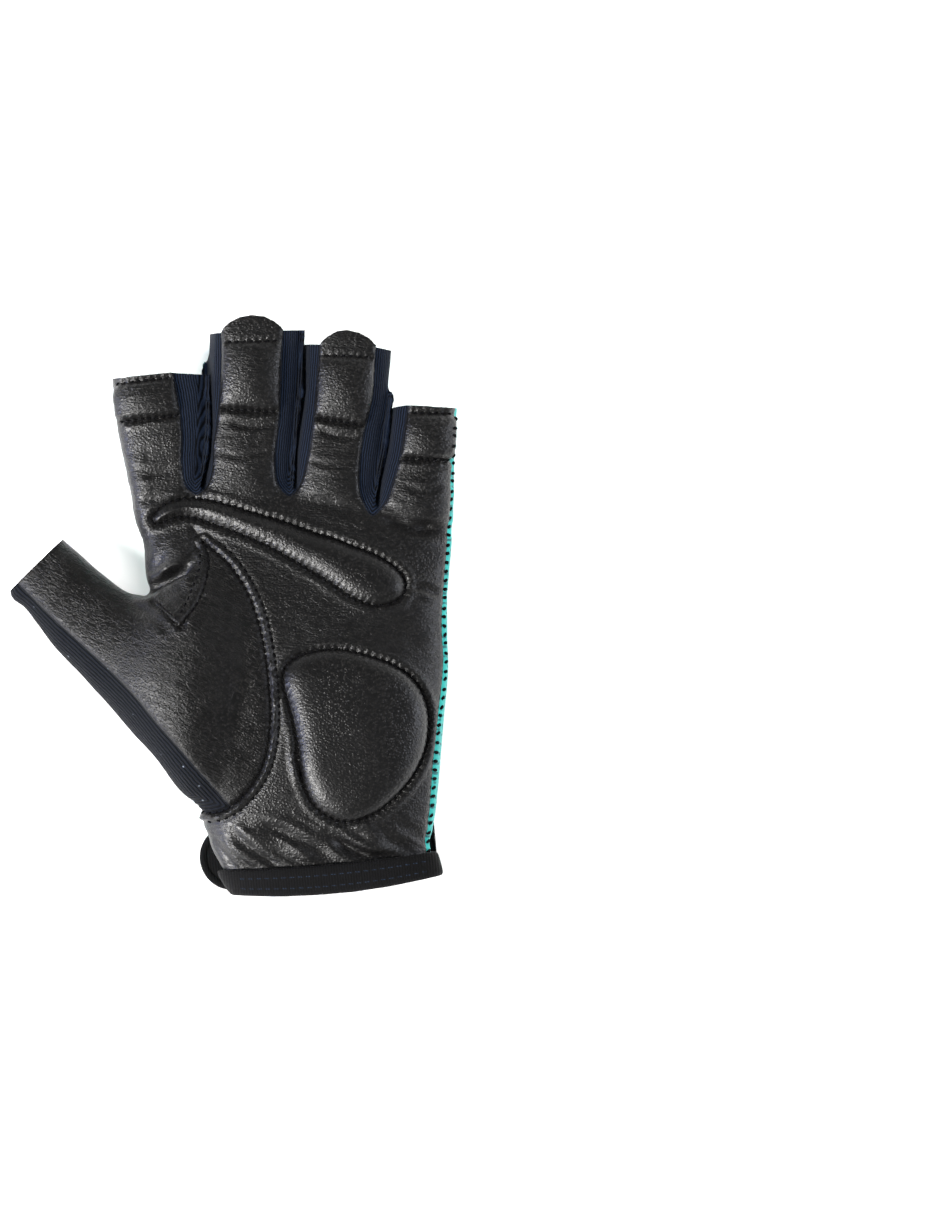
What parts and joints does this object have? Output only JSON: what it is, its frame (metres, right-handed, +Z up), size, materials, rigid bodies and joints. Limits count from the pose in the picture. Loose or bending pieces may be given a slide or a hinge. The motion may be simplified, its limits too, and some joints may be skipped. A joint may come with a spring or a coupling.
{
  "type": "weightlifting glove",
  "caption": "Half-finger training glove for the left hand, goatskin palm with sewn pads, ribbed knit between the fingers, lying palm up.",
  "frame": {"origin": "under the middle of the glove, on the surface that it lies on", "axes": "+X from the thumb side to the little finger, +Y along the hand to the fingers, +Z up out of the palm"},
  "size_m": [0.1234, 0.1612, 0.0269],
  "materials": {
    "goatskin": "black grained goatskin, soft satin",
    "rib_knit": "navy-black ribbed stretch knit, matt",
    "back_mesh": "turquoise stretch fabric, matt",
    "binding_tape": "black woven stretch binding, matt"
  },
  "bodies": {
    "root": {"palm_panel": "goatskin", "thumb_panel": "goatskin", "knuckle_pad": "goatskin", "heel_pad": "goatskin", "thumb_gusset": "goatskin", "index_hem": "goatskin", "middle_cap": "goatskin", "ring_cap": "goatskin", "little_hem": "goatskin", "thumb_knit": "rib_knit", "fourchette_index_middle": "rib_knit", "fourchette_middle_ring": "rib_knit", "fourchette_ring_little": "rib_knit", "back_panel": "back_mesh", "wrist_binding": "binding_tape", "wrist_strap": "binding_tape"}
  },
  "joints": []
}
